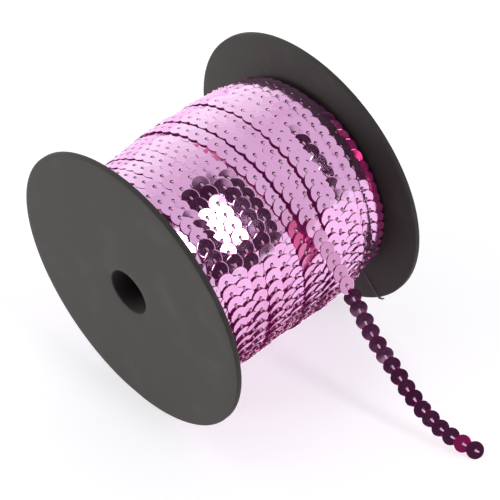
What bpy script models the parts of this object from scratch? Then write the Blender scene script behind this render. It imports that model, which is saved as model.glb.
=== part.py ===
"""Round sequin trim wound on a flanged plastic spool that lies on its rims, with the trim's loose end.

The spool's axis runs along X, the front flange is at -X, and the floor is at Z = 0 under the middle of
the spool. Lengths at the top are in millimetres and angles in degrees. An angle round the spool starts
at +Y and turns towards +Z, so the top is at 90 and the side where the trim comes off is at 180.
"""

import math
from collections import namedtuple

import bmesh
import bpy
import numpy as np

MM = 0.001

# Spool
FLANGE_R = 50.0
FLANGE_T = 2.0
RIM_ROUND = 0.5
SPOOL_LENGTH = 80.0
BORE_R = 8.0
BORE_CHAMFER = 0.5
RIM_STEPS = 90  # sides of each flange's circle
FLAT_DEPTH = 0.49  # how far the rim's lowest points are levelled
CORE_R = 14.0
CORE_WALL = 2.0
CORE_STEPS = 48
HUB_LENGTH = 6.0  # how far each flange's hub plugs into the core
GAP = 0.3  # between pieces

# Thread slit at the back flange's rim, with its raised lip
SLIT_ANGLE = 223.5
SLIT_INNER_R = 39.5
SLIT_WIDTH = 0.9
LIP_WIDTH = 0.8
LIP_HEIGHT = 1.3
LIP_PAST_RIM = 1.4

# Trim
TRIM_WIDTH = 6.0
TRIM_THICKNESS = 1.6
ROLL_STEPS = 60  # sides of the wound trim
ROLL_COLUMNS = 54  # points across it from flange to flange
TRIM_FLAT = 1.6  # half the flat top of one turn of the trim
TRIM_DROP = 0.9  # how far a turn's edge lies below its middle
GROOVE = -1.2  # floor of the grooves between the bands

AXIS_HEIGHT = FLANGE_R - FLAT_DEPTH
INNER_FACE = SPOOL_LENGTH / 2 - FLANGE_T
ROLL_END = INNER_FACE - GAP

# Radius of the winding's body, in rows by angle and columns by place along the spool.
BODY_PLACES = (-37.7, -30.0, -22.0, -4.0, 14.0, 24.0, 33.0, 37.7)
BODY_ANGLES = (33.0, 123.0, 213.0, 303.0)
BODY_RADII = (
    (35.6, 36.2, 36.8, 38.6, 38.2, 37.6, 35.6, 34.6),
    (38.0, 38.7, 38.8, 38.6, 38.9, 38.6, 36.6, 35.6),
    (37.6, 38.0, 38.4, 38.8, 39.4, 39.0, 36.8, 35.8),
    (36.8, 37.4, 38.0, 38.8, 38.8, 38.2, 36.0, 35.0),
)

# The turns that show, from front flange to back: how high each lies over the body, and its place along
# the spool at the angles in TURN_ANGLES. Each turn runs on round the back into the next one.
TURN_ANGLES = (40.0, 70.0, 100.0, 130.0, 160.0, 190.0)
Turn = namedtuple("Turn", "name level places")
TURNS = (
    Turn("rim_turn", -0.5, (-35.6, -35.2, -34.4, -33.4, -32.9, -32.6)),
    Turn("over_left", 0.9, (-33.4, -32.8, -29.1, -28.1, -27.6, -26.6)),
    Turn("under_left", 0.0, (-28.4, -27.1, -26.3, -25.6, -25.4, -25.0)),
    Turn("left_three", 0.3, (-20.6, -21.5, -21.2, -22.1, -23.9, -23.2)),
    Turn("left_four", 0.35, (-16.0, -15.1, -15.4, -17.0, -19.4, -21.2)),
    Turn("left_five", 0.3, (-11.3, -11.1, -11.1, -9.8, -11.6, -12.6)),
    Turn("deep_one", -0.5, (-8.4, -8.0, -8.0, -5.6, -6.3, -8.2)),
    Turn("deep_two", -0.6, (-5.6, -5.2, -4.8, -3.8, -2.9, -3.6)),
    Turn("middle", 0.3, (-3.8, -2.2, -0.8, 0.9, 2.5, 2.6)),
    Turn("last_turn", 1.1, (2.2, 3.5, 4.1, 5.8, 7.4, 8.4)),
    Turn("under_last", 0.2, (6.4, 6.8, 7.1, 8.6, 9.4, 9.6)),
    Turn("under_right", -0.1, (9.8, 10.1, 10.4, 10.8, 11.2, 11.6)),
    Turn("over_right", 0.9, (13.4, 14.0, 14.3, 14.9, 13.1, 12.6)),
    Turn("right_two", 0.3, (16.4, 17.2, 17.8, 17.6, 16.9, 16.4)),
    Turn("right_three", 0.2, (21.2, 21.1, 21.0, 20.6, 20.3, 20.0)),
    Turn("right_four", 0.3, (24.4, 24.4, 24.7, 24.4, 23.5, 22.6)),
    Turn("right_five", 0.4, (26.2, 27.2, 28.8, 28.5, 27.4, 26.4)),
    Turn("edge_turn", -0.3, (31.6, 31.8, 32.2, 32.4, 31.5, 30.6)),
)
TRIM_OFF_ANGLE = 146.0  # where the last turn comes off the roll
OFF_FADE = 8.0  # degrees over which its ridge ends there
LAST_TURN = "last_turn"

# The loose end's route in world millimetres, from the roll to its cut end on the floor.
LOOSE_ROUTE = (
    (6.8, -34.3, 72.1),
    (8.2, -39.0, 64.9),
    (9.4, -44.6, 56.7),
    (9.9, -50.5, 48.4),
    (10.3, -56.2, 40.6),
    (10.9, -61.4, 34.0),
    (12.2, -67.0, 27.1),
    (13.2, -72.7, 20.5),
    (14.6, -78.9, 14.1),
    (16.9, -85.4, 8.2),
    (19.9, -91.5, 4.4),
    (22.6, -96.6, 2.1),
)
LOOSE_STEPS = 28  # points along its smooth curve

# How far the loose end's flat face turns towards its near side: share of the route, then degrees.
LOOSE_TWIST = (
    (0.0, 0.0),
    (0.25, 0.0),
    (0.36, 34.0),
    (0.82, 34.0),
    (1.0, 20.0),
)
TRIM_CORNERS = 3  # segments of each rounded edge of its flat section


def clear_scene():
    """Remove every object of the open scene."""
    for obj in list(bpy.data.objects):
        bpy.data.objects.remove(obj, do_unlink=True)


def finish(name, colour, roughness, metallic=0.0):
    """A Principled material, with its colour as linear red, green and blue."""
    material = bpy.data.materials.new(name)
    material.use_nodes = True
    shader = material.node_tree.nodes["Principled BSDF"]
    shader.inputs["Base Color"].default_value = (*colour, 1.0)
    shader.inputs["Roughness"].default_value = roughness
    shader.inputs["Metallic"].default_value = metallic
    return material


def add_mesh(name, points, faces, material):
    """A smooth-shaded object from points in millimetres."""
    mesh = bpy.data.meshes.new(name)
    mesh.from_pydata([tuple(p) for p in np.asarray(points) * MM], [], faces)
    mesh.materials.append(material)
    mesh.shade_smooth()
    mesh.set_sharp_from_angle(angle=math.radians(35.0))
    obj = bpy.data.objects.new(name, mesh)
    bpy.context.scene.collection.objects.link(obj)
    return obj


def ring_faces(rings, profile):
    """Quads of a surface that closes both round the axis and round its profile."""
    faces = []
    for i in range(rings):
        for j in range(profile):
            a = i * profile + j
            b = i * profile + (j + 1) % profile
            c = ((i + 1) % rings) * profile + (j + 1) % profile
            d = ((i + 1) % rings) * profile + j
            faces.append((a, b, c, d))
    return faces


def turned(name, profile, steps, material):
    """Turn a closed profile of (x, radius) points about the spool's axis, with the rim levelled below."""
    angles = np.radians(-90.0) + np.arange(steps) * 2.0 * np.pi / steps
    x, r = np.array(profile, float).T
    points = np.stack(
        [
            np.broadcast_to(x, (steps, len(x))),
            np.outer(np.cos(angles), r),
            AXIS_HEIGHT + np.outer(np.sin(angles), r),
        ],
        axis=-1,
    )
    points[..., 2] = np.maximum(points[..., 2], 0.0)
    return add_mesh(name, points.reshape(-1, 3), ring_faces(steps, len(x)), material)


def flange(name, side, material):
    """A disc with a rounded rim, a bore, and the hub that plugs into the core. side is -1 or 1."""
    outer = SPOOL_LENGTH / 2
    hub_r = CORE_R - CORE_WALL - GAP
    profile = [
        (outer, BORE_R + BORE_CHAMFER),
        (outer, FLANGE_R - RIM_ROUND),
        (outer - 0.3 * RIM_ROUND, FLANGE_R - 0.1 * RIM_ROUND),
        (outer - RIM_ROUND, FLANGE_R),
        (INNER_FACE + RIM_ROUND, FLANGE_R),
        (INNER_FACE, FLANGE_R - RIM_ROUND),
        (INNER_FACE, hub_r),
        (INNER_FACE - HUB_LENGTH, hub_r),
        (INNER_FACE - HUB_LENGTH, BORE_R),
        (outer - BORE_CHAMFER, BORE_R),
    ]
    if side < 0:
        profile = [(-x, r) for x, r in reversed(profile)]
    return turned(name, profile, RIM_STEPS, material)


def core(material):
    """The tube between the flanges, over their hubs."""
    end = INNER_FACE - GAP
    inner = CORE_R - CORE_WALL
    profile = [(end, inner), (end, CORE_R), (-end, CORE_R), (-end, inner)]
    return turned("core_tube", profile, CORE_STEPS, material)


def helper_box(name, low, high, angle):
    """A box given by its along-spool, radial and sideways limits, laid along a radius at that angle."""
    corners = [
        (x, r, s)
        for x in (low[0], high[0])
        for r in (low[1], high[1])
        for s in (low[2], high[2])
    ]
    turn = math.radians(angle)
    points = [
        (
            x,
            r * math.cos(turn) - s * math.sin(turn),
            AXIS_HEIGHT + r * math.sin(turn) + s * math.cos(turn),
        )
        for x, r, s in corners
    ]
    mesh = bpy.data.meshes.new(name)
    shape = bmesh.new()
    for p in points:
        shape.verts.new([c * MM for c in p])
    bmesh.ops.convex_hull(shape, input=shape.verts)
    bmesh.ops.recalc_face_normals(shape, faces=shape.faces)
    shape.to_mesh(mesh)
    shape.free()
    helper = bpy.data.objects.new(name, mesh)
    bpy.context.scene.collection.objects.link(helper)
    helper.hide_render = True
    helper.display_type = "WIRE"
    return helper


def add_boolean(obj, helper, operation):
    """Add or cut a helper with an exact Boolean."""
    modifier = obj.modifiers.new(helper.name, "BOOLEAN")
    modifier.operation = operation
    modifier.object = helper
    modifier.solver = "EXACT"


def cut_slit(back):
    """Raise the lip on the back flange's inner face, then cut the slit beside it."""
    half = SLIT_WIDTH / 2
    lip = helper_box(
        "lip_shape",
        (INNER_FACE - LIP_HEIGHT, SLIT_INNER_R - 1.0, half),
        (INNER_FACE + FLANGE_T / 2, FLANGE_R + LIP_PAST_RIM, half + LIP_WIDTH),
        SLIT_ANGLE,
    )
    slit = helper_box(
        "slit_shape",
        (INNER_FACE - 5.0, SLIT_INNER_R, -half),
        (SPOOL_LENGTH / 2 + 5.0, FLANGE_R + 5.0, half),
        SLIT_ANGLE,
    )
    add_boolean(back, lip, "UNION")
    add_boolean(back, slit, "DIFFERENCE")


def body_radius(place, angle):
    """Radius of the winding's body, read from BODY_RADII by straight lines both ways."""
    rows = [np.interp(place, BODY_PLACES, row) for row in BODY_RADII]
    start = BODY_ANGLES[0]
    turn = (angle - start) % 360.0
    stations = [a - start for a in BODY_ANGLES] + [360.0]
    rows.append(rows[0])
    return np.array([np.interp(turn, stations, column) for column in np.array(rows).T])


def turn_place(index, angle):
    """Where a turn lies along the spool at an angle: by its table in front, then on into the next turn."""
    first, last = TURN_ANGLES[0], TURN_ANGLES[-1]
    turn = (angle - first) % 360.0
    places = TURNS[index].places
    if turn <= last - first:
        return float(np.interp(turn, np.array(TURN_ANGLES) - first, places))
    onward = TURNS[index + 1].places[0] if index + 1 < len(TURNS) else places[0]
    share = (turn - (last - first)) / (360.0 - (last - first))
    return places[-1] + (onward - places[-1]) * share


def turn_level(index, angle):
    """How high a turn lies over the body. The last turn's ridge ends where the trim comes off."""
    level = TURNS[index].level
    past = (angle - TRIM_OFF_ANGLE + OFF_FADE) / OFF_FADE
    if TURNS[index].name == LAST_TURN and angle > TRIM_OFF_ANGLE - OFF_FADE:
        level += (GROOVE - level) * min(past, 1.0)
    return level


def roll_radius(places, angle):
    """Outer radius of the winding along the spool: the highest turn at each place, over the body."""
    relief = np.full(len(places), GROOVE)
    for index in range(len(TURNS)):
        aside = np.abs(places - turn_place(index, angle))
        edge = np.clip((aside - TRIM_FLAT) / TRIM_FLAT, 0.0, None)
        relief = np.maximum(relief, turn_level(index, angle) - TRIM_DROP * edge**2)
    return body_radius(places, angle) + relief


def wound_trim(material):
    """The roll as one ring: its bore stands just off the core, and its outside has the turns' relief."""
    places = np.linspace(-ROLL_END, ROLL_END, ROLL_COLUMNS)
    inner = CORE_R + GAP
    rings = []
    for angle in np.arange(ROLL_STEPS) * 360.0 / ROLL_STEPS:
        x = np.concatenate([[ROLL_END], places[::-1], [-ROLL_END]])
        r = np.concatenate([[inner], roll_radius(places, angle)[::-1], [inner]])
        turn = math.radians(angle)
        rings.append(
            np.stack([x, r * math.cos(turn), AXIS_HEIGHT + r * math.sin(turn)], axis=1)
        )
    count = len(rings[0])
    return add_mesh(
        "wound_trim", np.concatenate(rings), ring_faces(ROLL_STEPS, count), material
    )


def smooth_curve(route, count):
    """Evenly numbered points on the Catmull-Rom curve through a route's points."""
    p = np.array(route, float)
    p = np.vstack([2 * p[0] - p[1], p, 2 * p[-1] - p[-2]])
    at = np.linspace(0.0, len(route) - 1.0, count)
    i = np.minimum(at.astype(int), len(route) - 2)
    t = (at - i)[:, None]
    a, b, c, d = p[i], p[i + 1], p[i + 2], p[i + 3]
    return 0.5 * (
        2 * b
        + (c - a) * t
        + (2 * a - 5 * b + 4 * c - d) * t**2
        + (3 * b - a - 3 * c + d) * t**3
    )


def flat_section():
    """The trim's section as a closed curve: a flat strip with round edges."""
    radius = TRIM_THICKNESS / 2
    middle = TRIM_WIDTH / 2 - radius
    sweep = np.linspace(-90.0, 90.0, TRIM_CORNERS + 1)
    right = [
        (middle + radius * math.cos(math.radians(a)), radius * math.sin(math.radians(a)))
        for a in sweep
    ]
    outline = (right + [(-x, -y) for x, y in right])[::-1]
    curve = bpy.data.curves.new("trim_section", "CURVE")
    curve.dimensions = "2D"
    spline = curve.splines.new("POLY")
    spline.points.add(len(outline) - 1)
    for point, (x, y) in zip(spline.points, outline):
        point.co = (x * MM, y * MM, 0.0, 1.0)
    spline.use_cyclic_u = True
    section = bpy.data.objects.new("trim_section", curve)
    bpy.context.scene.collection.objects.link(section)
    section.hide_render = True
    section.display_type = "WIRE"
    return section


def loose_end(material):
    """The free end as a flat strip along its route, turned by LOOSE_TWIST from level across its width."""
    curve = bpy.data.curves.new("loose_end", "CURVE")
    curve.dimensions = "3D"
    curve.twist_mode = "Z_UP"
    curve.bevel_mode = "OBJECT"
    curve.bevel_object = flat_section()
    curve.use_fill_caps = True
    points = smooth_curve(LOOSE_ROUTE, LOOSE_STEPS)
    twist = np.interp(np.linspace(0.0, 1.0, len(points)), *np.array(LOOSE_TWIST).T)
    spline = curve.splines.new("POLY")
    spline.points.add(len(points) - 1)
    for point, place, turn in zip(spline.points, points, twist):
        point.co = (*(place * MM), 1.0)
        point.tilt = math.radians(turn)
    curve.materials.append(material)
    obj = bpy.data.objects.new("loose_end", curve)
    bpy.context.scene.collection.objects.link(obj)
    return obj


def main():
    """Build the spool, the winding and the loose end."""
    clear_scene()
    plastic = finish("moulded_spool_plastic", (0.074, 0.074, 0.069), 0.62)
    film = finish("metallised_pink_film", (0.63, 0.26, 0.50), 0.25, 0.85)
    flange("front_flange", -1, plastic)
    cut_slit(flange("back_flange", 1, plastic))
    core(plastic)
    wound_trim(film)
    loose_end(film)


main()
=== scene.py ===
"""Dress a round sequin trim that is wound on a flanged plastic spool lying on its rims.

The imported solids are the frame. The spool's axis runs along X, the front flange is at -X and the floor
is at Z = 0. Sizes are given in millimetres and turned to metres where a mesh is made. An angle round the
spool starts at +Y and turns towards +Z, so its top is at 90 degrees and its near side at 180.
"""

from __future__ import annotations

import logging
import math
from dataclasses import dataclass
from enum import Enum

import bpy
import numpy as np
from mathutils import Matrix, Vector

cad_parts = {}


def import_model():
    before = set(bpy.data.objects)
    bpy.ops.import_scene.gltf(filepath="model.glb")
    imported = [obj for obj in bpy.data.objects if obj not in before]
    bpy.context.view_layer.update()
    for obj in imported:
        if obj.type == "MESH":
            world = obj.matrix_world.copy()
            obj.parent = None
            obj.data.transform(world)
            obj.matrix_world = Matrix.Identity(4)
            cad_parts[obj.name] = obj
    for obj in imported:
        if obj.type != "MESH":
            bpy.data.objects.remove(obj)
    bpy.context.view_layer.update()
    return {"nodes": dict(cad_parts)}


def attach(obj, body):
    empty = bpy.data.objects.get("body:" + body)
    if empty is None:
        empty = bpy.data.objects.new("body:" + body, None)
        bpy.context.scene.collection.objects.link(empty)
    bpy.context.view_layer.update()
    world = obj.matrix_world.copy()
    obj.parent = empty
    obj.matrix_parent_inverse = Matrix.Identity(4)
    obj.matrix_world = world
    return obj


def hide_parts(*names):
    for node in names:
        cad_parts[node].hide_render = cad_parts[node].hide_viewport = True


LOG = logging.getLogger("sequin_trim")
MM = 0.001
AXIS_HEIGHT = 49.51
SLIT_ANGLE = 223.5


# Small helpers


def linear(code: str) -> tuple[float, float, float, float]:
    """Turn an sRGB hex colour to linear light.

    Args:
        code: Six hex digits, with or without a leading mark.

    Returns:
        Linear red, green, blue and an alpha of one.
    """
    code = code.lstrip("#")
    parts = [int(code[i : i + 2], 16) / 255.0 for i in (0, 2, 4)]
    lit = [c / 12.92 if c <= 0.04045 else ((c + 0.055) / 1.055) ** 2.4 for c in parts]
    return (lit[0], lit[1], lit[2], 1.0)


def add_node(
    tree: bpy.types.NodeTree, kind: str, links: dict | None = None, **settings: object
) -> bpy.types.Node:
    """Add a node with its settings, input values and links.

    Args:
        tree: The node tree it joins.
        kind: Blender's type name of the node.
        links: Input name or number to a value, or to an output socket to link from.
        settings: Attributes of the node, such as operation.

    Returns:
        The new node.
    """
    node = tree.nodes.new(kind)
    for name, value in settings.items():
        setattr(node, name, value)
    for name, value in (links or {}).items():
        if isinstance(value, bpy.types.NodeSocket):
            tree.links.new(value, node.inputs[name])
        else:
            node.inputs[name].default_value = value
    return node


def new_material(name: str) -> tuple[bpy.types.Material, bpy.types.NodeTree, bpy.types.Node]:
    """Make a material with its Principled shader.

    Args:
        name: The real material's name.

    Returns:
        The material, its node tree and its shader.
    """
    material = bpy.data.materials.new(name)
    material.use_nodes = True
    tree = material.node_tree
    return material, tree, tree.nodes["Principled BSDF"]


def unit(vectors: np.ndarray) -> np.ndarray:
    """Vectors divided by their own length, along the last axis."""
    return vectors / np.linalg.norm(vectors, axis=-1, keepdims=True)


def grid_faces(rows: int, columns: int, close_rows: bool = True) -> np.ndarray:
    """Quads of a grid of points numbered row by row, whose last column joins the first.

    Args:
        rows: Number of rows, such as steps round an axis.
        columns: Number of points in a row, such as points of a profile.
        close_rows: The last row joins the first.

    Returns:
        An array of quads, each of four point numbers.
    """
    i, j = np.meshgrid(np.arange(rows if close_rows else rows - 1), np.arange(columns), indexing="ij")
    below, beside = (i + 1) % rows, (j + 1) % columns
    quads = [i * columns + j, i * columns + beside, below * columns + beside, below * columns + j]
    return np.stack(quads, axis=-1).reshape(-1, 4)


def make_piece(
    name: str,
    points: np.ndarray,
    quads: np.ndarray,
    material: bpy.types.Material,
    sharp: float = 30.0,
    tone: np.ndarray | None = None,
) -> bpy.types.Object:
    """Put points and quads into a smooth-shaded mesh object.

    Args:
        name: The piece's name.
        points: Points in millimetres.
        quads: Faces of four points.
        material: What it is made of.
        sharp: Edges that turn more than this many degrees stay sharp.
        tone: One number per point, for the material's tone attribute.

    Returns:
        The new object at the origin.
    """
    mesh = bpy.data.meshes.new(name)
    mesh.vertices.add(len(points))
    mesh.vertices.foreach_set("co", (np.asarray(points, float) * MM).astype(np.float32).ravel())
    mesh.loops.add(quads.size)
    mesh.loops.foreach_set("vertex_index", quads.astype(np.int32).ravel())
    mesh.polygons.add(len(quads))
    mesh.polygons.foreach_set("loop_start", np.arange(0, quads.size, 4, dtype=np.int32))
    mesh.update(calc_edges=True)
    mesh.validate()
    if tone is not None:
        layer = mesh.attributes.new("tone", "FLOAT", "POINT")
        layer.data.foreach_set("value", np.asarray(tone, np.float32))
    mesh.materials.append(material)
    mesh.shade_smooth()
    mesh.set_sharp_from_angle(angle=math.radians(sharp))
    piece = bpy.data.objects.new(name, mesh)
    bpy.context.scene.collection.objects.link(piece)
    return piece


def settle(piece: bpy.types.Object, slot: str, *nodes: str) -> bpy.types.Object:
    """Ride a piece on the part and hide the solids that it stands for."""
    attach(piece, "root")
    if nodes:
        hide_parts(*nodes)
    LOG.info("%s: %d faces", piece.name, len(piece.data.polygons))
    return piece


# Finishes


@dataclass(frozen=True)
class SequinFilm:
    """Metallised polyester film, dyed pink and punched into discs.

    The eye gets a mirror tinted pink that darkens to plum where it faces the dark side of the room, a thin
    clear lacquer, and faint rubbing. Its tone attribute turns a disc towards the crimson dye of its back,
    which is less of a mirror, and gives it a faint painted glow.
    """

    name: str = "metallised_polyester_film"
    face: str = "#F7BDF0"
    back: str = "#C8286E"
    edge: str = "#FFF2FD"  # tint of its mirror at a glancing angle
    roughness: tuple[float, float] = (0.05, 0.13)  # where it is clean, and where it is rubbed
    lacquer: float = 0.18
    lacquer_roughness: float = 0.06
    dyed_metal: float = 0.75  # how much of a mirror the crimson back still is
    # colour of the painted glow that the tone gives the crimson discs
    through: str = "#A83A8E"
    painted_glow_strength: float = 0.13  # strength of a painted glow in the crimson discs
    ripple_mm: float = 2.4  # length of the soft unevenness in the film
    ripple_depth_mm: float = 0.05
    ripple_strength: float = 0.12

    def build(self) -> bpy.types.Material:
        """Make the film from the tone attribute and a soft ripple."""
        material, tree, shader = new_material(self.name)
        place = add_node(tree, "ShaderNodeTexCoord")
        tone = add_node(tree, "ShaderNodeAttribute", attribute_name="tone")
        colour = add_node(
            tree,
            "ShaderNodeMix",
            {"Factor": tone.outputs["Fac"], "A": linear(self.face), "B": linear(self.back)},
            data_type="RGBA",
        )
        ripple = add_node(
            tree,
            "ShaderNodeTexNoise",
            {"Vector": place.outputs["Object"], "Scale": 1.0 / (self.ripple_mm * MM), "Detail": 1.0},
        )
        bump = add_node(
            tree,
            "ShaderNodeBump",
            {
                "Height": ripple.outputs["Fac"],
                "Strength": self.ripple_strength,
                "Distance": self.ripple_depth_mm * MM,
            },
        )
        rub = add_node(
            tree,
            "ShaderNodeMapRange",
            {"Value": ripple.outputs["Fac"], "To Min": self.roughness[0], "To Max": self.roughness[1]},
        )
        metal = add_node(
            tree,
            "ShaderNodeMapRange",
            {"Value": tone.outputs["Fac"], "To Min": 1.0, "To Max": self.dyed_metal},
        )
        # painted glow, stronger where the tone is crimson
        through = add_node(
            tree, "ShaderNodeMath", {0: tone.outputs["Fac"], 1: self.painted_glow_strength}, operation="MULTIPLY"
        )
        tree.links.new(colour.outputs["Result"], shader.inputs["Base Color"])
        tree.links.new(metal.outputs["Result"], shader.inputs["Metallic"])
        tree.links.new(through.outputs[0], shader.inputs["Emission Strength"])
        shader.inputs["Emission Color"].default_value = linear(self.through)
        tree.links.new(rub.outputs["Result"], shader.inputs["Roughness"])
        tree.links.new(bump.outputs["Normal"], shader.inputs["Normal"])
        shader.inputs["Coat Weight"].default_value = self.lacquer
        shader.inputs["Coat Roughness"].default_value = self.lacquer_roughness
        shader.inputs["Specular Tint"].default_value = linear(self.edge)
        return material


@dataclass(frozen=True)
class SewingThread:
    """Spun polyester sewing thread in a pale pink.

    The eye gets small soft stitches, light against the dark discs, with a fine twist along each, and painted
    shade in each hole.
    """

    name: str = "spun_polyester_thread"
    colour: str = "#FFC8EA"
    shade: str = "#EBA6D0"
    hole_shade: str = "#2E1529"  # painted shade in the dark hole behind each stitch
    ply_mm: float = 0.35  # length of one turn of the ply, drawn a little coarse
    ply_waves: float = 0.3  # the wave texture's scale for one turn of a metre
    ply_distortion: float = 1.5
    roughness: float = 0.6
    fuzz: float = 0.3

    def build(self) -> bpy.types.Material:
        """Make the thread from a wave that stands for its ply."""
        material, tree, shader = new_material(self.name)
        place = add_node(tree, "ShaderNodeTexCoord")
        ply = add_node(
            tree,
            "ShaderNodeTexWave",
            {
                "Vector": place.outputs["Object"],
                "Scale": self.ply_waves / (self.ply_mm * MM),
                "Distortion": self.ply_distortion,
            },
            bands_direction="DIAGONAL",
        )
        colour = add_node(
            tree,
            "ShaderNodeMix",
            {"Factor": ply.outputs["Fac"], "A": linear(self.shade), "B": linear(self.colour)},
            data_type="RGBA",
        )
        tone = add_node(tree, "ShaderNodeAttribute", attribute_name="tone")
        # The tone turns the ring behind each hole to the painted hole shade.
        both = add_node(
            tree,
            "ShaderNodeMix",
            {"Factor": tone.outputs["Fac"], "A": colour.outputs["Result"], "B": linear(self.hole_shade)},
            data_type="RGBA",
        )
        tree.links.new(both.outputs["Result"], shader.inputs["Base Color"])
        shader.inputs["Roughness"].default_value = self.roughness
        shader.inputs["Sheen Weight"].default_value = self.fuzz
        return material


@dataclass(frozen=True)
class SpoolPlastic:
    """Injection-moulded polystyrene, recycled dark grey and matte.

    The eye gets a flat dark face with a very fine grain, a few dull scuffs and slightly paler wear.
    """

    name: str = "moulded_polystyrene"
    body: str = "#3E3B3A"
    worn: str = "#4A4645"
    grain_mm: float = 0.35
    grain_depth_mm: float = 0.03
    grain_strength: float = 0.25
    scuff_mm: float = 14.0
    scuff_roughness: float = 0.62  # of the noise, for ragged scuffs
    scuff_start: float = 0.52  # noise at which a scuff starts
    scuff_full: float = 0.74
    roughness: tuple[float, float] = (0.58, 0.72)  # where it is clean, and in a scuff
    shine: float = 0.12

    def build(self) -> bpy.types.Material:
        """Make the plastic from a fine grain and sparse scuffs."""
        material, tree, shader = new_material(self.name)
        place = add_node(tree, "ShaderNodeTexCoord")
        cloud = add_node(
            tree,
            "ShaderNodeTexNoise",
            {
                "Vector": place.outputs["Object"],
                "Scale": 1.0 / (self.scuff_mm * MM),
                "Detail": 5.0,
                "Roughness": self.scuff_roughness,
            },
        )
        scuff = add_node(
            tree,
            "ShaderNodeMapRange",
            {"Value": cloud.outputs["Fac"], "From Min": self.scuff_start, "From Max": self.scuff_full},
        )
        colour = add_node(
            tree,
            "ShaderNodeMix",
            {"Factor": scuff.outputs["Result"], "A": linear(self.body), "B": linear(self.worn)},
            data_type="RGBA",
        )
        grain = add_node(
            tree,
            "ShaderNodeTexNoise",
            {"Vector": place.outputs["Object"], "Scale": 1.0 / (self.grain_mm * MM), "Detail": 2.0},
        )
        bump = add_node(
            tree,
            "ShaderNodeBump",
            {
                "Height": grain.outputs["Fac"],
                "Strength": self.grain_strength,
                "Distance": self.grain_depth_mm * MM,
            },
        )
        dull = add_node(
            tree,
            "ShaderNodeMapRange",
            {"Value": scuff.outputs["Result"], "To Min": self.roughness[0], "To Max": self.roughness[1]},
        )
        tree.links.new(colour.outputs["Result"], shader.inputs["Base Color"])
        tree.links.new(dull.outputs["Result"], shader.inputs["Roughness"])
        tree.links.new(bump.outputs["Normal"], shader.inputs["Normal"])
        shader.inputs["Specular IOR Level"].default_value = self.shine
        return material


@dataclass(frozen=True)
class LightTable:
    """White acrylic lit from below, as under a cut-out product shot.

    The eye gets a white floor with hardly any shadow.
    """

    name: str = "backlit_white_acrylic"
    colour: str = "#C6C5C7"
    mottled: str = "#CAC9CB"
    mottle_scale: float = 8.0
    glow: str = "#FDFBFF"
    strength: float = 0.59
    roughness: float = 0.9
    shine: float = 0.1

    def build(self) -> bpy.types.Material:
        """Make the acrylic with a faint mottling."""
        material, tree, shader = new_material(self.name)
        place = add_node(tree, "ShaderNodeTexCoord")
        mottle = add_node(
            tree, "ShaderNodeTexNoise", {"Vector": place.outputs["Object"], "Scale": self.mottle_scale}
        )
        colour = add_node(
            tree,
            "ShaderNodeMix",
            {"Factor": mottle.outputs["Fac"], "A": linear(self.colour), "B": linear(self.mottled)},
            data_type="RGBA",
        )
        tree.links.new(colour.outputs["Result"], shader.inputs["Base Color"])
        shader.inputs["Roughness"].default_value = self.roughness
        shader.inputs["Specular IOR Level"].default_value = self.shine
        shader.inputs["Emission Color"].default_value = linear(self.glow)
        shader.inputs["Emission Strength"].default_value = self.strength
        return material


# Camera and room


@dataclass
class PhotoCamera:
    """The camera at the photograph's angle, in millimetres and degrees."""

    place: tuple[float, float, float] = (-330.649, -361.997, 590.643)
    azimuth: float = -43.482
    elevation: float = 48.394
    lens: float = 163.16
    sensor: float = 36.0
    far_clip: float = 50.0  # metres

    def build(self) -> bpy.types.Object:
        """Make the camera from its right, up and back directions."""
        a, e = math.radians(self.azimuth), math.radians(self.elevation)
        right = np.array([math.cos(a), math.sin(a), 0.0])
        back = np.array([math.sin(a) * math.cos(e), -math.cos(a) * math.cos(e), math.sin(e)])
        up = np.cross(back, right)
        turn = Matrix([[right[i], up[i], back[i]] for i in range(3)]).to_4x4()
        data = bpy.data.cameras.new("photo_camera")
        data.lens = self.lens
        data.sensor_width = self.sensor
        data.clip_end = self.far_clip
        camera = bpy.data.objects.new("photo_camera", data)
        camera.matrix_world = Matrix.Translation([c * MM for c in self.place]) @ turn
        bpy.context.scene.collection.objects.link(camera)
        bpy.context.scene.camera = camera
        return camera


@dataclass(frozen=True)
class Lamp:
    """A round area lamp that faces the spool. The film doesn't mirror it.

    Attributes:
        name: The lamp's name.
        place: Where it stands, in metres.
        size: Its diameter in metres.
        watts: Its power.
    """

    name: str
    place: tuple[float, float, float]
    size: float
    watts: float

    def build(self) -> None:
        """Make the lamp and turn it to the spool."""
        data = bpy.data.lights.new(self.name, "AREA")
        data.shape = "DISK"
        data.size = self.size
        data.energy = self.watts
        lamp = bpy.data.objects.new(self.name, data)
        lamp.location = self.place
        lamp.rotation_euler = (-Vector(self.place)).to_track_quat("-Z", "Y").to_euler()
        lamp.visible_glossy = False
        bpy.context.scene.collection.objects.link(lamp)


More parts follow.
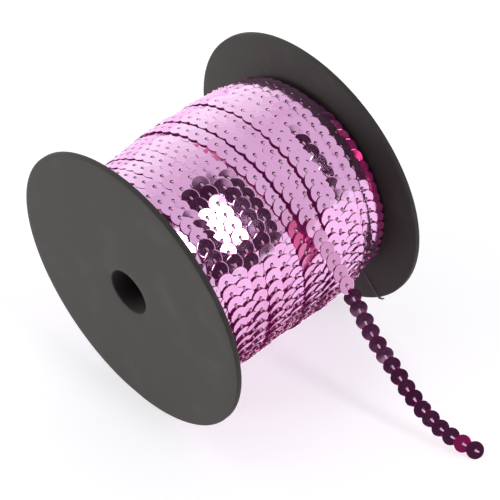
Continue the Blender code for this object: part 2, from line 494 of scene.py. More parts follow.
@dataclass
class Studio:
    """A white floor under a pale dome, with one softbox in a dark corner on the near side."""

    dome: float = 0.74
    haze: tuple[float, float, float] = (1.10, 1.40, 1.17)  # the dome's light low on the far side
    haze_turn: tuple[float, float] = (12.0, 68.0)
    corner: tuple[float, float, float] = (0.044, 0.015, 0.034)
    softbox: float = 6.5
    corner_x: tuple[float, float] = (-1.1, 0.37)
    corner_turn: tuple[float, float] = (86.0, 178.0)
    corner_soft: tuple[float, float] = (0.03, 4.0)  # widths of its edges, sideways and in degrees
    box_x: tuple[float, float] = (0.055, 0.165)
    box_turn: tuple[float, float] = (109.0, 160.0)
    box_soft: tuple[float, float] = (0.015, 2.0)
    side_light: Lamp = Lamp("side_light", (-1.4, 0.6, 0.25), size=0.4, watts=14.5)
    overhead_light: Lamp = Lamp("overhead_light", (0.1, 0.1, 1.5), size=1.3, watts=3.5)
    floor_half: float = 3.0

    def build(self) -> None:
        """Build the floor, the room's light, and the lamps beside the front flange and overhead."""
        self.build_floor()
        self.build_room()
        self.side_light.build()
        self.overhead_light.build()
        bpy.context.scene.view_settings.view_transform = "Standard"

    def build_floor(self) -> None:
        """A flat square of the table."""
        h = self.floor_half / MM
        corners = np.array([[-h, -h, 0.0], [h, -h, 0.0], [h, h, 0.0], [-h, h, 0.0]])
        floor = make_piece("table_floor", corners, np.array([[0, 1, 2, 3]]), LightTable().build())

    def band(
        self, tree: bpy.types.NodeTree, value: bpy.types.NodeSocket, low: float, high: float, soft: float
    ) -> bpy.types.NodeSocket:
        """One inside low to high, falling to zero over the soft width outside it.

        Args:
            tree: The room's node tree.
            value: The number that is tested.
            low: Where the band starts.
            high: Where it ends.
            soft: Width of each edge.

        Returns:
            The band's strength as a socket.
        """
        rise = add_node(tree, "ShaderNodeMapRange", {"Value": value, "From Min": low - soft, "From Max": low})
        fall = add_node(
            tree,
            "ShaderNodeMapRange",
            {"Value": value, "From Min": high, "From Max": high + soft, "To Min": 1.0, "To Max": 0.0},
        )
        both = add_node(
            tree,
            "ShaderNodeMath",
            {0: rise.outputs["Result"], 1: fall.outputs["Result"]},
            operation="MULTIPLY",
        )
        return both.outputs[0]

    def build_room(self) -> None:
        """The dome by direction: pale all round, a dark corner on the near side and a softbox in it.

        A direction's sideways part is its X, and its turn is the angle of its Y and Z, with the far
        horizon at 0 and the near one at 180.
        """
        world = bpy.data.worlds.new("studio_room")
        bpy.context.scene.world = world
        world.use_nodes = True
        tree = world.node_tree
        shader = tree.nodes["Background"]
        way = add_node(tree, "ShaderNodeTexCoord")
        axes = add_node(tree, "ShaderNodeSeparateXYZ", {0: way.outputs["Generated"]})
        turn = add_node(
            tree, "ShaderNodeMath", {0: axes.outputs["Z"], 1: axes.outputs["Y"]}, operation="ARCTAN2"
        )
        degrees = add_node(tree, "ShaderNodeMath", {0: turn.outputs[0]}, operation="DEGREES")
        height = add_node(
            tree,
            "ShaderNodeMapRange",
            {"Value": degrees.outputs[0], "From Min": self.haze_turn[0], "From Max": self.haze_turn[1]},
        )
        low_sky = add_node(
            tree,
            "ShaderNodeMix",
            {"Factor": height.outputs["Result"], "A": (*self.haze, 1.0), "B": (self.dome,) * 3 + (1.0,)},
            data_type="RGBA",
        )
        corner = add_node(
            tree,
            "ShaderNodeMath",
            {
                0: self.band(tree, axes.outputs["X"], *self.corner_x, self.corner_soft[0]),
                1: self.band(tree, degrees.outputs[0], *self.corner_turn, self.corner_soft[1]),
            },
            operation="MULTIPLY",
        )
        box = add_node(
            tree,
            "ShaderNodeMath",
            {
                0: self.band(tree, axes.outputs["X"], *self.box_x, self.box_soft[0]),
                1: self.band(tree, degrees.outputs[0], *self.box_turn, self.box_soft[1]),
            },
            operation="MULTIPLY",
        )
        shaded = add_node(
            tree,
            "ShaderNodeMix",
            {"Factor": corner.outputs[0], "A": low_sky.outputs["Result"], "B": (*self.corner, 1.0)},
            data_type="RGBA",
        )
        lit = add_node(
            tree,
            "ShaderNodeMix",
            {"Factor": box.outputs[0], "A": shaded.outputs["Result"], "B": (self.softbox,) * 3 + (1.0,)},
            data_type="RGBA",
        )
        tree.links.new(lit.outputs["Result"], shader.inputs["Color"])


# Spool


class FlangeSide(Enum):
    """Which end of the spool a flange closes, as the sign of its X."""

    FRONT = -1
    BACK = 1


@dataclass
class Flange:
    """One end disc of the spool, with its hub and bore, in millimetres."""

    side: FlangeSide
    material: bpy.types.Material
    radius: float = 50.0
    thickness: float = 2.0
    rim_round: float = 0.45
    outer_face: float = 40.0
    bore: float = 8.0
    bore_round: float = 0.5
    hub_radius: float = 11.7
    hub_length: float = 6.0
    hub_foot: float = 0.6  # the chamfer where the hub leaves the disc
    face_rings: tuple[float, ...] = (12.0, 20.0, 30.0, 40.0, 47.0)  # radii of the outer face's points
    back_rings: tuple[float, ...] = (47.0, 43.0, 38.0, 26.0)
    waver: float = 0.05  # how far the rim bends out of flat, in three waves
    waver_start: float = 30.0
    steps: int = 240
    slit_angle: float = SLIT_ANGLE
    slit_inner: float = 39.5
    slit_width: float = 0.9
    cutter_margin: float = 5.0

    def profile(self) -> np.ndarray:
        """The disc's section as (x, radius) points: quarter-round rim edges, then the hub and the bore."""
        out, inner = self.outer_face, self.outer_face - self.thickness
        r, c, b = self.radius, self.rim_round, self.bore_round
        sweep = np.radians([0.0, 22.5, 45.0, 67.5, 90.0])
        outer_rim = [(out - c + c * math.cos(a), r - c + c * math.sin(a)) for a in sweep]
        inner_rim = [(inner + c - c * math.sin(a), r - c + c * math.cos(a)) for a in sweep]
        bore_mouth = [(out - b + b * math.sin(a), self.bore + b - b * math.cos(a)) for a in sweep]
        face = [(out, q) for q in self.face_rings]
        back = [(inner, q) for q in (*self.back_rings, self.hub_radius + self.hub_foot)]
        hub = [(inner - q, self.hub_radius) for q in (self.hub_foot, self.hub_length)]
        inside = [(inner - self.hub_length, self.bore)]
        return np.array(bore_mouth + face + outer_rim + inner_rim + back + hub + inside)

    def build(self) -> bpy.types.Object:
        """Turn the section about the axis, level its lowest points and cut the back flange's slit."""
        name = f"{self.side.name.lower()}_flange"
        section = self.profile()
        angles = np.radians(-90.0) + np.arange(self.steps) * 2.0 * np.pi / self.steps
        x, r = section[:, 0], section[:, 1]
        outer_part = np.clip((r - self.waver_start) / (self.radius - self.waver_start), 0, 1)
        waver = self.waver * np.sin(3 * angles)[:, None] * outer_part**2
        points = np.stack(
            [
                np.broadcast_to(x, (self.steps, len(x))) + waver,
                np.outer(np.cos(angles), r),
                AXIS_HEIGHT + np.outer(np.sin(angles), r),
            ],
            axis=-1,
        )
        points[..., 2] = np.maximum(points[..., 2], 0.0)
        quads = grid_faces(self.steps, len(x))
        points[..., 0] *= self.side.value
        if self.side is FlangeSide.FRONT:
            quads = quads[:, ::-1]
        piece = make_piece(f"{name}_moulding", points.reshape(-1, 3), quads, self.material, sharp=40.0)
        if self.side is FlangeSide.BACK:
            self.cut_slit(piece)
        return settle(piece, "spool_plastic", name)

    def cut_slit(self, piece: bpy.types.Object) -> None:
        """Cut the radial slit out of the rim with a thin box."""
        turn = math.radians(self.slit_angle)
        along = np.array([0.0, math.cos(turn), math.sin(turn)])
        across = np.array([0.0, -math.sin(turn), math.cos(turn)])
        middle = np.array([0.0, 0.0, AXIS_HEIGHT])
        half = self.slit_width / 2
        corners = [
            middle + np.array([x, 0.0, 0.0]) + r * along + s * across
            for x in (self.outer_face - self.cutter_margin, self.outer_face + self.cutter_margin)
            for r in (self.slit_inner, self.radius + self.cutter_margin)
            for s in (-half, half)
        ]
        quads = np.array([[0, 1, 3, 2], [4, 6, 7, 5], [0, 4, 5, 1], [2, 3, 7, 6], [0, 2, 6, 4], [1, 5, 7, 3]])
        cutter = make_piece("slit_cutter", np.array(corners), quads, self.material)
        cut = piece.modifiers.new("slit", "BOOLEAN")
        cut.operation = "DIFFERENCE"
        cut.object = cutter
        cut.solver = "EXACT"
        shaped = bpy.data.meshes.new_from_object(piece.evaluated_get(bpy.context.evaluated_depsgraph_get()))
        shaped.name = piece.data.name
        piece.modifiers.clear()
        piece.data = shaped
        bpy.data.objects.remove(cutter, do_unlink=True)


@dataclass
class SlitLip:
    """The raised lip beside the thread slit, which curls out past the rim, in millimetres.

    A share is counted along the lip, from 0 at its start to 1 at its tip.
    """

    material: bpy.types.Material
    angle: float = SLIT_ANGLE
    inner_face: float = 38.0
    start: float = 39.0
    end: float = 51.2
    offset: float = 0.5
    width: float = 0.5
    height: float = 0.5
    crest: float = 0.18  # height of the rounded edges along its top
    flat_top: float = 0.4  # share of its width that stays flat on top
    root: float = 0.4  # how deep it is set in the flange
    rise_rate: float = 5.0
    least_rise: float = 0.15
    curl: float = 0.9
    curl_start: float = 0.9
    curl_aside: float = 0.8
    thin_start: float = 0.8
    thinning: float = 0.55
    stations: int = 16

    def build(self) -> bpy.types.Object:
        """Carry a six-sided section out along the slit. It rises from nothing, and its tip curls outwards."""
        share = np.linspace(0.0, 1.0, self.stations)
        r = self.start + (self.end - self.start) * share
        rise = self.height * np.clip(share * self.rise_rate, self.least_rise, 1.0)
        curl = self.curl * np.clip((share - self.curl_start) / (1.0 - self.curl_start), 0.0, 1.0) ** 2
        thin = 1.0 - self.thinning * np.clip((share - self.thin_start) / (1.0 - self.thin_start), 0.0, 1.0)
        low, high = self.inner_face + self.root + curl, self.inner_face - rise + curl
        side = high + self.crest
        x = np.stack([low, low, side, high, high, side], axis=1)
        half = self.width / 2 * thin
        top = half * self.flat_top
        s = np.stack([-half, half, half, top, -top, -half], axis=1)
        s = self.offset + s - curl[:, None] * self.curl_aside
        turn = math.radians(self.angle)
        y = r[:, None] * math.cos(turn) - s * math.sin(turn)
        z = AXIS_HEIGHT + r[:, None] * math.sin(turn) + s * math.cos(turn)
        points = np.stack([x, y, z], axis=-1).reshape(-1, 3)
        corners = x.shape[1]
        quads = grid_faces(self.stations, corners, close_rows=False)
        last = (self.stations - 1) * corners
        ends = np.array([[3, 2, 1, 0], [5, 4, 3, 0]])
        ends = np.concatenate([ends, last + ends[:, ::-1]])
        piece = make_piece("slit_lip", points, np.concatenate([quads, ends]), self.material, sharp=75.0)
        return settle(piece, "spool_plastic")


# Trim


@dataclass(frozen=True)
class SequinShape:
    """One punched disc about the origin: X along the trim, Z outward, in millimetres."""

    radius: float = 3.0
    hole: float = 0.6
    rim: float = 0.22  # width of the punched, turned-down edge
    cup: float = 0.03
    rim_drop: float = 0.03
    thickness: float = 0.09
    edge_share: float = 0.6  # share of the thickness that its edge keeps
    back_tone: float = 0.8  # how crimson the dyed back is
    steps: int = 18
    sharp: float = 5.0  # degrees; it keeps the turned-down edge crisp

    def points(self) -> np.ndarray:
        """Rings round the disc: hole, rim's start, edge, edge below, hole below."""
        rings = np.array(
            [
                (self.hole, 0.0),
                (self.radius - self.rim, -self.cup),
                (self.radius, -self.cup - self.rim_drop),
                (self.radius, -self.cup - self.rim_drop - self.thickness * self.edge_share),
                (self.hole, -self.thickness),
            ]
        )
        a = np.arange(self.steps) * 2.0 * np.pi / self.steps
        x = np.outer(np.cos(a), rings[:, 0])
        y = np.outer(np.sin(a), rings[:, 0])
        z = np.broadcast_to(rings[:, 1], x.shape)
        return np.stack([x, y, z], axis=-1).reshape(-1, 3)

    def quads(self) -> np.ndarray:
        """The rings' faces, pointing outwards."""
        return grid_faces(self.steps, 5)[:, ::-1]

    def tones(self, discs: np.ndarray) -> np.ndarray:
        """Each disc's tone on its front rings, and at least the dyed back's tone on its two back rings."""
        rings = np.maximum(discs[:, None], np.array([0.0, 0.0, 0.0, self.back_tone, self.back_tone]))
        return np.repeat(rings[:, None], self.steps, axis=1).ravel()


@dataclass(frozen=True)
class StitchShape:
    """One stitch about a sequin's centre: out of the hole and along under the next disc, in millimetres.

    Behind the hole lies a dark ring of painted shade.
    """

    radius: float = 0.32
    steps: int = 6
    sharp: float = 60.0  # degrees
    hole_shade_radii: tuple[float, float] = (0.66, 0.02)  # of the painted hole shade's ring
    hole_shade_drop: float = 0.12
    arch: tuple[tuple[float, float], ...] = (
        (0.05, -0.5),
        (0.22, 0.0),
        (0.56, 0.2),
        (0.95, 0.1),
        (1.6, -0.35),
    )

    def points(self) -> np.ndarray:
        """A round section carried along the arch, then two flat rings of painted hole shade."""
        arch = np.array(self.arch)
        ahead = unit(np.gradient(arch, axis=0))
        a = np.arange(self.steps) * 2.0 * np.pi / self.steps
        up = np.stack([-ahead[:, 1], ahead[:, 0]], axis=1)
        x = arch[:, None, 0] + self.radius * up[:, None, 0] * np.sin(a)
        z = arch[:, None, 1] + self.radius * up[:, None, 1] * np.sin(a)
        y = np.broadcast_to(self.radius * np.cos(a), x.shape)
        skin = np.stack([x, y, z], axis=-1).reshape(-1, 3)
        flat = [
            np.stack([q * np.cos(a), q * np.sin(a), np.full(self.steps, -self.hole_shade_drop)], axis=1)
            for q in self.hole_shade_radii
        ]
        return np.concatenate([skin] + flat)

    def quads(self) -> np.ndarray:
        """The arch's skin, open at both hidden ends, and the flat ring behind the hole."""
        skin = grid_faces(len(self.arch), self.steps, close_rows=False)
        flat = grid_faces(2, self.steps, close_rows=False) + len(self.arch) * self.steps
        return np.concatenate([skin, flat])

    def tones(self) -> np.ndarray:
        """One on the painted hole shade and zero on the stitch."""
        return np.repeat([0.0, 1.0], [len(self.arch) * self.steps, 2 * self.steps])


def place_copies(shape: np.ndarray, quads: np.ndarray, spots: Spots) -> tuple[np.ndarray, np.ndarray]:
    """Lay one small shape at every spot: its points are turned to the spot's own axes and moved there.

    Args:
        shape: Points of the shape.
        quads: Its faces.
        spots: Where the copies go.

    Returns:
        All points and all faces.
    """
    axes = np.stack([spots.ahead, spots.aside, spots.out], axis=1)
    points = np.einsum("vk,nkc->nvc", shape, axes) + spots.place[:, None, :]
    faces = quads[None] + (np.arange(len(spots.place)) * len(shape))[:, None, None]
    return points.reshape(-1, 3), faces.reshape(-1, 4)


@dataclass
class Spots:
    """Places of sequins with their three axes, and each one's tone from pink at 0 to crimson at 1."""

    place: np.ndarray
    ahead: np.ndarray
    aside: np.ndarray
    out: np.ndarray
    tone: np.ndarray

    @classmethod
    def from_way(
        cls,
        place: np.ndarray,
        ahead: np.ndarray,
        out: np.ndarray,
        tilt: np.ndarray,
        lean: np.ndarray,
        tone: np.ndarray,
    ) -> Spots:
        """Spots from the trim's way and the face's direction.

        Args:
            place: Centres.
            ahead: The way the trim runs.
            out: The direction its face looks, before tilt and lean.
            tilt: Degrees by which each disc's leading face drops, so that it lies on the one before.
            lean: Degrees by which each disc turns about the trim's way, towards its right side.
            tone: Each disc's tone.

        Returns:
            The spots.
        """
        ahead = unit(ahead)
        out = unit(out - ahead * np.sum(out * ahead, axis=1, keepdims=True))
        right = np.cross(ahead, out)
        right *= np.sign(right[:, :1] + 1e-9)
        t, s = np.radians(tilt)[:, None], np.radians(lean)[:, None]
        out = unit(out * np.cos(s) + right * np.sin(s))
        out = unit(out * np.cos(t) + ahead * np.sin(t))
        aside = unit(np.cross(out, ahead))
        return cls(place, np.cross(aside, out), aside, out, tone)


def lay_sequins(
    name: str, spots: Spots, film: bpy.types.Material, thread: bpy.types.Material, *nodes: str
) -> tuple[bpy.types.Object, bpy.types.Object]:
    """Make one run of sequins and its stitches, as two pieces.

    Args:
        name: The run's name.
        spots: Where its sequins lie.
        film: What the sequins are made of.
        thread: What the stitches are made of.
        nodes: Solids that the sequins stand for.

    Returns:
        The sequins and the stitches.
    """
    disc, stitch = SequinShape(), StitchShape()
    points, quads = place_copies(disc.points(), disc.quads(), spots)
    sequins = make_piece(f"{name}_sequins", points, quads, film, disc.sharp, disc.tones(spots.tone))
    settle(sequins, "sequin_film", *nodes)
    points, quads = place_copies(stitch.points(), stitch.quads(), spots)
    tone = np.tile(stitch.tones(), len(spots.place))
    stitches = make_piece(f"{name}_thread", points, quads, thread, stitch.sharp, tone)
    settle(stitches, "sequin_film")
    return sequins, stitches


STATIONS = (45.0, 65.0, 85.0, 105.0, 125.0, 145.0, 165.0, 185.0, 205.0)
BROAD_STATIONS = (65.0, 95.0, 120.0, 130.0, 145.0, 175.0)
TILTS = (2.6, 3.6, 5.0, 6.0, 7.4, 9.2)  # how far each disc's leading face drops, at BROAD_STATIONS


@dataclass(frozen=True)
class Turn:
    """One turn of the trim on the roll's near side.

    Attributes:
        places: Millimetres along the spool at each of STATIONS.
        levels: Millimetres over the roll's body at each of BROAD_STATIONS.
        leans: Degrees that its discs turn towards the back flange at each of BROAD_STATIONS.
        tones: From pink at 0 or less to crimson at 1, at each of BROAD_STATIONS.
        drop: Degrees added to TILTS all along the turn.
    """

    places: tuple[float, ...]
    levels: tuple[float, ...]
    leans: tuple[float, ...]
    tones: tuple[float, ...] = (0.0,) * len(BROAD_STATIONS)
    drop: float = 0.0


LOW_END_PAINTED_SHADE = (0, 0, 0, 0, 0.04, 0.22)  # tones of a turn that goes a little crimson at its lower end, a painted shade towards the floor
LEFT_TURNS = (
    Turn(
        places=(-36.6, -36.3, -35.2, -33.6, -33.3, -33.0, -33.0, -32.6, -32.2),
        levels=(-0.1, -0.1, -0.1, -0.1, -0.1, -0.1),
        leans=(0, -8, -10.5, -6, -5, 0),
        tones=LOW_END_PAINTED_SHADE,
    ),
    Turn(
        places=(-34.6, -33.2, -31.5, -28.6, -28.1, -27.9, -27.5, -26.5, -25.6),
        levels=(0.2, 0.3, 0.5, 0.6, 0.6, 0.6),
        leans=(1, 1.5, 1, -6.7, -6.7, 0),
        tones=LOW_END_PAINTED_SHADE,
    ),
    Turn(
        places=(-29.4, -28.3, -26.8, -26.0, -25.3, -25.4, -25.5, -25.0, -24.4),
        levels=(0.2, 0.15, 0.15, 0.2, 0.1, 0),
        leans=(1, 1, -3, -6.7, -6.7, 0),
        tones=LOW_END_PAINTED_SHADE,
    ),
    Turn(
        places=(-23.9, -23.3, -22.0, -21.2, -22.0, -22.6, -23.0, -22.5, -22.2),
        levels=(0.3, 0.3, 0.35, 0.35, 0.35, 0.3),
        leans=(0, -3, -11.3, -11.3, -6.7, 0),
        tones=LOW_END_PAINTED_SHADE,
    ),
    Turn(
        places=(-18.8, -18.2, -16.8, -15.7, -16.2, -17.0, -18.6, -20.4, -19.6),
        levels=(0.35, 0.35, 0.4, 0.42, 0.5, 0.5),
        leans=(0, -1, -11, -11, -6.7, 0),
        tones=LOW_END_PAINTED_SHADE,
    ),
    Turn(
        places=(-15.2, -14.8, -14.2, -15.2, -16.0, -16.4, -16.4, -16.8, -16.4),
        levels=(0.2, 0.15, -0.4, -0.4, -0.5, -0.9),
        leans=(0, 0, -5, -5, -5, 0),
        tones=LOW_END_PAINTED_SHADE,
    ),
    Turn(
        places=(-12.6, -12.2, -11.4, -10.3, -9.7, -10.4, -11.8, -12.2, -12.6),
        levels=(0.3, 0.3, 0.35, 0.37, 0.4, 0.3),
        leans=(0, 0.5, -6.7, -6.7, -6.7, 0),
        tones=LOW_END_PAINTED_SHADE,
    ),
    Turn(
        places=(-10.2, -10.0, -8.9, -7.4, -5.9, -5.8, -6.6, -8.2, -8.0),
        levels=(0.2, 0.2, 0.2, 0.2, 0.15, 0.1),
        leans=(0, 0, -6.7, -6.7, -6.7, 0),
        tones=LOW_END_PAINTED_SHADE,
    ),
    Turn(
        places=(-6.6, -6.4, -5.4, -4.2, -2.6, -2.5, -2.9, -3.2, -3.5),
        levels=(-0.8, -0.2, -0.1, -0.1, 0, 0),
        leans=(-6, -12, 0, 0, 0, 0),
        # Its crimson tones at the top are painted shade in the deep groove where this turn lies low.
        tones=(0.8, 0.7, 0.4, 0.3, 0.1, 0),
    ),
    Turn(
        places=(-3.6, -2.6, -1.6, -0.8, 0.6, 2.1, 2.6, 2.5, 2.4),
        levels=(0.35, 0.35, 0.35, 0.35, 0.35, 0.3),
        leans=(1, 1.5, 1.5, 1, 1, 0),
        tones=(0, 0, 0, -0.9, 1, 0.1),
    ),
    Turn(
        places=(2.8, 3.6, 4.3, 4.8, 5.7, 6.7, 7.6, 8.2, 8.6),
        levels=(0.65, 0.8, 0.95, 1.15, 1.5, 3),
        leans=(1, 2, 2.5, 2, 1, 0),
        tones=LOW_END_PAINTED_SHADE,
    ),
)
RIGHT_TURNS = (
    Turn(
        places=(6.6, 6.7, 6.9, 7.0, 7.0, 6.4, 5.9, 5.9, 6.0),
        levels=(0.2, 0.2, 0.2, 0.2, 0.2, 0.2),
        leans=(0, 0, 0, 0, 0, 0),
    ),
    Turn(
        places=(10.0, 10.0, 10.1, 10.4, 10.6, 10.8, 10.8, 10.6, 10.4),
        levels=(0.15, 0.1, 0.1, 0.1, 0.1, 0.1),
        leans=(0, 0, 0, 0, 0, 0),
        drop=-1.2,
    ),
    Turn(
        places=(14.4, 14.6, 14.9, 15.1, 15.1, 14.4, 13.0, 12.8, 12.6),
        levels=(0.65, 0.7, 0.8, 0.95, 0.95, 0.5),
        leans=(1, 2, 2.5, 2, 1.5, 0),
        drop=-1.2,
    ),
    Turn(
        places=(17.6, 17.6, 17.6, 17.8, 17.6, 17.3, 16.8, 16.5, 16.3),
        levels=(0.35, 0.35, 0.35, 0.35, 0.35, 0.3),
        leans=(0, 0, 0, 0, 0, 0),
        drop=-1.2,
    ),
    Turn(
        places=(21.4, 21.1, 20.9, 21.1, 20.9, 20.6, 20.5, 20.3, 20.1),
        levels=(0.2, 0.2, 0.34, 0.34, 0.2, 0.2),
        leans=(0, 0, -8, -8, -3, 0),
        drop=-1.2,
    ),
    Turn(
        places=(24.6, 24.5, 24.4, 24.7, 24.1, 23.8, 23.2, 22.8, 22.6),
        levels=(0.35, 0.35, 0.35, 0.35, 0.35, 0.3),
        leans=(0, 0, -1, -1.5, -1, 0),
        drop=-1.2,
    ),
    Turn(
        places=(27.9, 28.2, 28.5, 28.6, 28.5, 27.8, 27.2, 26.6, 26.3),
        levels=(0.35, 0.4, 0.4, 0.4, 0.4, 0.4),
        leans=(-1, -1.5, -2.5, -2.5, -1, 0),
        drop=-1.2,
    ),
    Turn(
        places=(31.5, 31.8, 32.0, 32.2, 32.2, 31.8, 31.4, 29.8, 29.5),
        levels=(-0.1, -0.1, -0.1, -0.1, 0.1, 0.2),
        leans=(8, 6, 2, 0, -9, -12),
        tones=(0, 0, 0, 0.1, 0.05, 0),
    ),
    Turn(
        places=(34.8, 34.6, 34.6, 34.7, 34.4, 34.2, 34.2, 33.9, 33.4),
        levels=(-0.4, -0.4, -0.2, 0, 0.1, -0.1),
        leans=(22, 20, -16, -16, -13, -12),
        tones=(0.2, 0.2, 0.8, 1, 1, 0.8),
    ),
)

BODY_PLACES = (-37.7, -30.0, -22.0, -4.0, 14.0, 24.0, 33.0, 37.7)
BODY_ANGLES = (33.0, 123.0, 213.0, 303.0)
BODY_RADII = (
    (35.6, 36.2, 36.8, 38.6, 38.2, 37.6, 35.6, 34.6),
    (38.0, 38.7, 38.8, 38.6, 38.9, 38.6, 36.6, 35.6),
    (37.6, 38.0, 38.4, 38.8, 39.4, 39.0, 36.8, 35.8),
    (36.8, 37.4, 38.0, 38.8, 38.8, 38.2, 36.0, 35.0),
)


def body_radius(place: np.ndarray, angle: np.ndarray) -> np.ndarray:
    """Radius of the winding's body: BODY_RADII read by straight lines along the spool and round it.

    Args:
        place: Millimetres along the spool.
        angle: Degrees round it, of the same shape.

    Returns:
        The radius at each pair, in millimetres.
    """
    rows = np.stack([np.interp(place, BODY_PLACES, row) for row in BODY_RADII + BODY_RADII[:1]])
    stations = np.array([a - BODY_ANGLES[0] for a in BODY_ANGLES] + [360.0])
    turn = (angle - BODY_ANGLES[0]) % 360.0
    row = np.clip(np.searchsorted(stations, turn, side="right") - 1, 0, len(BODY_ANGLES) - 1)
    share = (turn - stations[row]) / (stations[row + 1] - stations[row])
    near = np.take_along_axis(rows, row[None], axis=0)[0]
    far = np.take_along_axis(rows, row[None] + 1, axis=0)[0]
    return near + (far - near) * share


@dataclass
class WoundStrand:
    """One unbroken run of trim round and round the roll, laid by a table of turns."""

    turns: tuple[Turn, ...]
    end_angle: float = 400.0
    pitch: float = 6.06  # degrees from one sequin to the next
    seed: int = 7
    tilt_noise: float = 0.7  # degrees
    lean_noise: float = 0.45
    tone_mean: float = 0.02
    tone_noise: float = 0.03
    lift_noise: float = 0.04  # millimetres
    shift_noise: float = 0.12

    def spots(self) -> Spots:
        """Sequins at even steps back from the strand's end.

        Place, level and lean are read from the turns by straight lines in the angle counted on through all
        turns. The way ahead is the place's change over a small step of that angle.
        """
        count = len(self.turns)
        whole = np.arange(count) * 360.0
        fine = (whole[:, None] + np.array(STATIONS)).ravel()
        broad = (whole[:, None] + np.array(BROAD_STATIONS)).ravel()
        places = np.array([t.places for t in self.turns]).ravel()
        levels = np.array([t.levels for t in self.turns], float).ravel()
        leans = np.array([t.leans for t in self.turns], float).ravel()
        tones = np.array([t.tones for t in self.turns], float).ravel()
        tilts = (np.array(TILTS) + np.array([[t.drop] for t in self.turns])).ravel()
        last = whole[-1] + self.end_angle
        angle = np.arange(last, STATIONS[0], -self.pitch)[::-1]
        rng = np.random.default_rng(self.seed)

        def at(turn: np.ndarray) -> np.ndarray:
            """Points of the strand's middle at these angles."""
            x = np.interp(turn, fine, places)
            r = body_radius(x, turn % 360.0) + np.interp(turn, broad, levels)
            a = np.radians(turn)
            return np.stack([x, r * np.cos(a), AXIS_HEIGHT + r * np.sin(a)], axis=1)

        place = at(angle)
        ahead = at(angle + 1.0) - at(angle - 1.0)
        a = np.radians(angle)
        out = np.stack([np.zeros_like(a), np.cos(a), np.sin(a)], axis=1)
        tilt = np.interp(angle, broad, tilts) + rng.normal(0.0, self.tilt_noise, len(a))
        lean = np.interp(angle, broad, leans) + rng.normal(0.0, self.lean_noise, len(a))
        tone = np.interp(angle, broad, tones) + rng.normal(self.tone_mean, self.tone_noise, len(a))
        place = place + out * rng.normal(0.0, self.lift_noise, (len(a), 1))
        place[:, 0] += rng.normal(0.0, self.shift_noise, len(a))
        return Spots.from_way(place, ahead, out, tilt, lean, np.clip(tone, 0.0, 1.0))


@dataclass
class WoundTrim:
    """The wound roll: a dark bed, an under layer and the turns that show, in millimetres."""

    film: bpy.types.Material
    thread: bpy.types.Material
    half_length: float = 37.7
    inner: float = 14.3
    bed_depth: float = 1.3
    bed_steps: int = 180
    bed_columns: int = 60
    bed_tone: float = 0.5
    under_turns: int = 18
    under_half_length: float = 36.4
    under_level: float = -0.32
    under_pitch: float = 6.3  # degrees
    off_angle: float = 141.5  # where the last turn's last sequin lies before the loose end

    def build(self) -> None:
        """Build every layer from the inside out."""
        self.build_bed()
        left = WoundStrand(LEFT_TURNS, end_angle=self.off_angle, seed=11).spots()
        right = WoundStrand(RIGHT_TURNS, seed=23).spots()
        for name, spots in (("left", left), ("right", right), ("under", self.under_strand())):
            lay_sequins(f"{name}_turns", spots, self.film, self.thread)

    def under_strand(self) -> Spots:
        """A plain spiral under the turns that show, seen in the grooves and at the ends."""
        size, broad = len(STATIONS), len(BROAD_STATIONS)
        x = np.linspace(-self.under_half_length, self.under_half_length, self.under_turns * size + 1)
        rows = tuple(
            Turn(tuple(x[i * size : (i + 1) * size]), (self.under_level,) * broad, (0.0,) * broad)
            for i in range(self.under_turns)
        )
        return WoundStrand(rows, pitch=self.under_pitch, seed=5).spots()

    def build_bed(self) -> None:
        """The deeper layers as one ring: its radius is the body's, less the bed's depth."""
        x = np.linspace(self.half_length, -self.half_length, self.bed_columns)
        angle = np.arange(self.bed_steps) * 360.0 / self.bed_steps
        gx, ga = np.meshgrid(x, angle)
        r = np.pad(body_radius(gx, ga) - self.bed_depth, ((0, 0), (1, 1)), constant_values=self.inner)
        gx = np.pad(gx, ((0, 0), (1, 1)), mode="edge")
        a = np.radians(angle)[:, None]
        points = np.stack([gx, r * np.cos(a), AXIS_HEIGHT + r * np.sin(a)], axis=-1).reshape(-1, 3)
        tone = np.full(len(points), self.bed_tone)
        piece = make_piece("trim_bed", points, grid_faces(*r.shape), self.film, tone=tone)
        settle(piece, "sequin_film", "wound_trim")


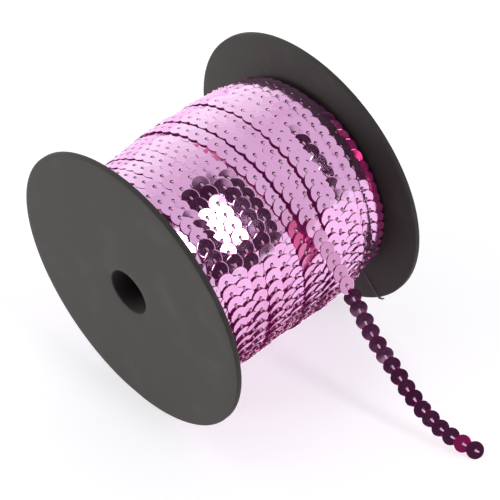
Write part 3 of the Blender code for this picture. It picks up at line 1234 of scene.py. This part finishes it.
@dataclass
class LooseEnd:
    """The free end of the trim, from the roll down to its cut end on the floor, in millimetres."""

    film: bpy.types.Material
    thread: bpy.types.Material
    pitch: float = 4.62
    width: float = 6.0
    tilt: float = 3.6
    level_way: tuple[float, float] = (-0.4568, -0.4818)  # the level way that its faces turn to
    most_turn: float = 0.664  # sine of how far they turn there, well above the floor
    turn_height: float = 3.4  # over this height they turn up flat, down to floor_height
    floor_height: float = 0.3
    route: tuple[tuple[float, float, float], ...] = (
        (6.8, -34.3, 72.1),
        (8.2, -39.0, 64.9),
        (9.4, -44.6, 56.7),
        (9.9, -50.5, 48.4),
        (10.3, -56.2, 40.6),
        (10.9, -61.4, 34.0),
        (12.2, -67.0, 27.1),
        (13.2, -72.7, 20.5),
        (14.6, -78.9, 14.1),
        (16.9, -85.4, 8.2),
        (19.9, -91.5, 4.4),
        (22.6, -96.6, 2.1),
    )
    near_count: int = 6  # sequins that still lean as on the roll, with their own way and tone
    near_way: tuple[float, float, float] = (0.0, -0.61, 0.79)
    near_tone: float = 0.2
    start_gap: float = 0.6  # from the route's start to the first sequin's middle
    end_gap: float = 1.4
    shift_noise: float = 0.12
    lean_noise: float = 2.0  # degrees
    tilt_noise: float = 0.5
    tone_noise: float = 0.03  # also its mean
    seed: int = 31
    line_points: int = 400
    path_step: int = 8  # every so many of them is given as the cord's path

    def smooth(self, count: int) -> np.ndarray:
        """Points on the Catmull-Rom curve through the route."""
        p = np.array(self.route)
        p = np.vstack([2 * p[0] - p[1], p, 2 * p[-1] - p[-2]])
        at = np.linspace(0.0, len(self.route) - 1.0, count)
        i = np.minimum(at.astype(int), len(self.route) - 2)
        t = (at - i)[:, None]
        a, b, c, d = p[i], p[i + 1], p[i + 2], p[i + 3]
        bend, twist = 2 * a - 5 * b + 4 * c - d, 3 * b - a - 3 * c + d
        return 0.5 * (2 * b + (c - a) * t + bend * t**2 + twist * t**3)

    def build(self) -> None:
        line = self.smooth(self.line_points)
        run = np.concatenate([[0.0], np.cumsum(np.linalg.norm(np.diff(line, axis=0), axis=1))])
        length = run[-1]
        count = round((length - self.start_gap - self.end_gap) / self.pitch) + 1
        rng = np.random.default_rng(self.seed)
        at = np.linspace(self.start_gap, length - self.end_gap, count)
        at = at + rng.normal(0.0, self.shift_noise, count)
        place = np.stack([np.interp(at, run, line[:, k]) for k in range(3)], axis=1)
        ahead = np.stack([np.interp(at, run, np.gradient(line[:, k], run)) for k in range(3)], axis=1)
        slope = np.clip((place[:, 2] - self.floor_height) / self.turn_height, 0.0, self.most_turn)
        out = np.column_stack([np.outer(slope, unit(np.array(self.level_way))), np.sqrt(1.0 - slope**2)])
        out[: self.near_count] = self.near_way
        lean = rng.normal(0.0, self.lean_noise, count)
        tilt = self.tilt + rng.normal(0.0, self.tilt_noise, count)
        tone = np.clip(rng.normal(self.tone_noise, self.tone_noise, count), 0.0, 1.0)
        tone[: self.near_count] = self.near_tone
        tone[-2] = 1.0
        spots = Spots.from_way(place, ahead, out, tilt, lean, tone)
        sequins, stitches = lay_sequins("loose_end", spots, self.film, self.thread, "loose_end")
        LOG.info("loose end: %.1f mm, %d sequins", length, count)


def main() -> None:
    """Build the camera and the loose end, then the spool, the roll and the room."""
    logging.basicConfig(level=logging.INFO, format="%(name)s %(message)s")
    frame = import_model()
    PhotoCamera().build()
    film = SequinFilm().build()
    thread = SewingThread().build()
    plastic = SpoolPlastic().build()
    LooseEnd(film, thread).build()
    for side in FlangeSide:
        Flange(side, plastic).build()
    # The lip is given a paler grey than the flange, a painted highlight along its raised crest.
    lip_highlight_plastic = SpoolPlastic(name="lip_painted_highlight_polystyrene", body="#76736F", worn="#85827E").build()
    SlitLip(lip_highlight_plastic).build()
    core = frame["nodes"]["core_tube"]
    core.data.materials.clear()
    core.data.materials.append(plastic)
    WoundTrim(film, thread).build()
    Studio().build()


if __name__ == "__main__":
    main()
